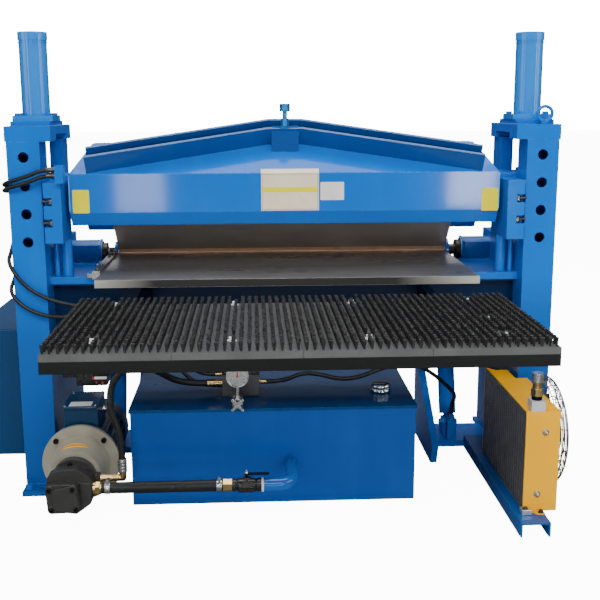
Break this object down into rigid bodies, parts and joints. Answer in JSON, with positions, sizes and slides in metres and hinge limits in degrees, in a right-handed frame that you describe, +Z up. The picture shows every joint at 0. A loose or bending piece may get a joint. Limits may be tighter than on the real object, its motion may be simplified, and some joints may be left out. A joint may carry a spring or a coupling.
{
  "type": "sheet metal folder",
  "caption": "Floor-standing hydraulic sheet metal folder: clamping beam between box side frames, swinging folding beam, brush table, power pack, oil cooler and control cabinet.",
  "frame": {"origin": "on the floor, at the centre of the four anchor holes in the foot plates of the side frames", "axes": "+Z up, +X along the beams to the machine's right as seen from the front, +Y from the table side (front) to the folding side (back)"},
  "size_m": [2.525, 2.37, 1.868],
  "materials": {
    "blue_paint": "gloss",
    "dark_blade": "satin",
    "bright_steel": "satin",
    "zinc_steel": "satin",
    "dark_steel": "satin",
    "chrome": "gloss",
    "motor_blue": "gloss",
    "label_film": "satin",
    "yellow_film": "gloss",
    "brass": "satin",
    "black_paint": "satin",
    "black_bristle": "matte",
    "grey_board": "matte",
    "black_rubber": "matte",
    "cast_grey": "satin",
    "pump_grey": "satin",
    "alu": "satin",
    "yellow_paint": "gloss",
    "black_plastic": "gloss",
    "dial_white": "satin",
    "red_plastic": "gloss"
  },
  "bodies": {
    "machine": {"right_frame": "blue_paint", "left_frame": "blue_paint", "cylinder_heads": "blue_paint", "clamp_barrels": "blue_paint", "frame_bolts": "blue_paint", "lifting_eye": "blue_paint", "lower_beam": "blue_paint", "bed_plate": "bright_steel", "lower_blade": "dark_steel", "side_gauge": "dark_steel", "stop_posts": "blue_paint", "pivot_housings": "blue_paint", "cylinder_feet": "blue_paint", "table_frame": "black_paint", "brush_boards": "grey_board", "brush_bristles": "black_bristle", "table_screws": "zinc_steel", "oil_tank": "blue_paint", "tank_lid": "blue_paint", "motor_housing": "motor_blue", "fan_cowl": "motor_blue", "bell_housing": "cast_grey", "pump_body": "pump_grey", "suction_hose": "black_rubber", "suction_valve": "black_paint", "suction_pipe": "blue_paint", "hose_fittings": "brass", "valve_block": "dark_steel", "pressure_gauge": "zinc_steel", "cooler_skid": "blue_paint", "cooler_frame": "yellow_paint", "cooler_core": "alu", "fan_guard": "black_paint", "cabinet": "blue_paint", "left_upper_hose_1": "black_rubber", "left_upper_hose_2": "black_rubber", "left_lower_hose_1": "black_rubber", "left_lower_hose_2": "black_rubber", "pressure_hose": "black_rubber", "right_hose": "black_rubber"},
    "beam": {"upper_beam": "blue_paint", "bow_truss": "blue_paint", "beam_screws": "blue_paint", "upper_blade": "dark_blade", "guide_shoes": "blue_paint", "piston_rods": "bright_steel"},
    "folder": {"fold_beam": "blue_paint", "fold_blade": "dark_steel", "pivot_pins": "dark_steel"},
    "ram_barrels": {"fold_barrels": "blue_paint"},
    "ram_rods": {"fold_rods": "bright_steel"},
    "rotor": {"motor_rotor": "dark_steel", "pump_drive": "dark_steel"},
    "vanes": {"cooler_fan": "black_plastic"},
    "lever": {"valve_lever": "black_paint"},
    "pointer": {"gauge_pointer": "red_plastic"},
    "handle": {"gauge_handle": "zinc_steel"},
    "cap": {"filler_cap": "chrome"},
    "door": {"cabinet_door": "blue_paint"},
    "latch": {"door_lock": "zinc_steel"}
  },
  "joints": [
    {"name": "clamp_lift", "type": "slide", "parent": "machine", "child": "beam", "axis": [0, 0, 1], "range_m": [0, 0.12]},
    {"name": "fold", "type": "hinge", "parent": "machine", "child": "folder", "pos_m": [0, 0.184, 0.9195], "axis": [1, 0, 0], "range_deg": [0, 100]},
    {"name": "ram_swing", "type": "hinge", "parent": "machine", "child": "ram_barrels", "pos_m": [0, 0.15, 0.09], "axis": [1, 0, 0], "range_deg": [0, 6.7]},
    {"name": "ram_stroke", "type": "slide", "parent": "ram_barrels", "child": "ram_rods", "axis": [0, 0.3128, 0.9498], "range_m": [0, 0.403]},
    {"name": "motor_spin", "type": "hinge", "parent": "machine", "child": "rotor", "pos_m": [-0.818, 0, 0.212], "axis": [0, 1, 0], "continuous": true},
    {"name": "fan_spin", "type": "hinge", "parent": "machine", "child": "vanes", "pos_m": [1, -0.5925, 0.302], "axis": [1, 0, 0], "continuous": true},
    {"name": "valve_turn", "type": "hinge", "parent": "machine", "child": "lever", "pos_m": [-0.173, -0.806, 0.27], "axis": [0, 0, 1], "range_deg": [0, 90]},
    {"name": "pointer_turn", "type": "hinge", "parent": "machine", "child": "pointer", "pos_m": [-0.206, -0.6, 0.541], "axis": [0, 1, 0], "range_deg": [0, 270]},
    {"name": "handle_turn", "type": "hinge", "parent": "machine", "child": "handle", "pos_m": [-0.206, -0.6, 0.436], "axis": [0, 1, 0], "range_deg": [0, 90]},
    {"name": "cap_turn", "type": "hinge", "parent": "machine", "child": "cap", "pos_m": [0.38, -0.41, 0.43], "axis": [0, 0, 1], "continuous": true},
    {"name": "door_swing", "type": "hinge", "parent": "machine", "child": "door", "pos_m": [-1.414, 0.0647, 0.3], "axis": [0, 0, -1], "range_deg": [0, 110]},
    {"name": "latch_turn", "type": "hinge", "parent": "door", "child": "latch", "pos_m": [-1.128, 0.06, 0.295], "axis": [0, -1, 0], "range_deg": [0, 90]}
  ],
  "couplings": [
    {"joint": "ram_swing", "follows": "fold", "ratio": 0.06672},
    {"joint": "ram_stroke", "follows": "fold", "m_per_rad": 0.23065}
  ]
}
